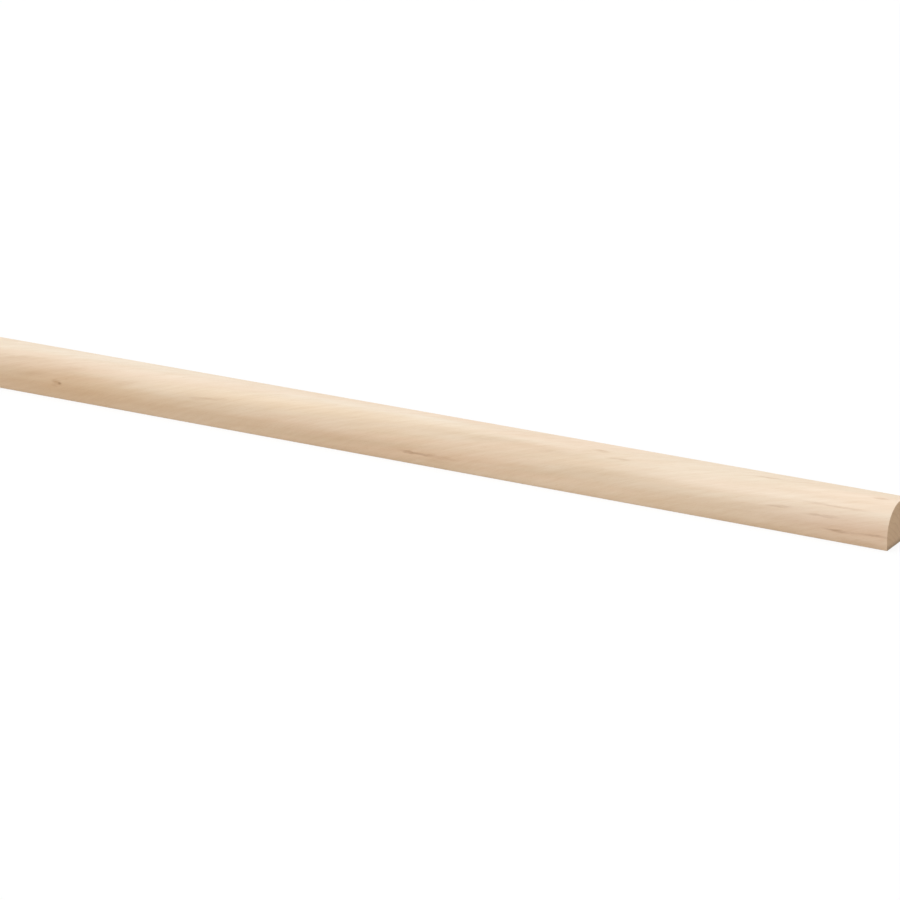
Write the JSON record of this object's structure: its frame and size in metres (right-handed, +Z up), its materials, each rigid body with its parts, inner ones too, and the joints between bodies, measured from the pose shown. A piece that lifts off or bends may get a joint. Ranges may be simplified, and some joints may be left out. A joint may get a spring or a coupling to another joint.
{
  "type": "quarter round moulding",
  "caption": "Straight stick of unfinished pale hardwood trim, square in section with one rounded corner, to cover the gap where a floor meets a wall or a skirting.",
  "frame": {"origin": "on the floor under the middle of the stick: the centre of the bottom of its box", "axes": "+X along the stick, +Y out of the flat that goes to the wall, +Z up; the rounded corner faces -Y and +Z"},
  "size_m": [2.4384, 0.019, 0.0191],
  "materials": {
    "pale_hardwood": "matte"
  },
  "bodies": {
    "root": {"quarter_round": "pale_hardwood"}
  },
  "joints": []
}
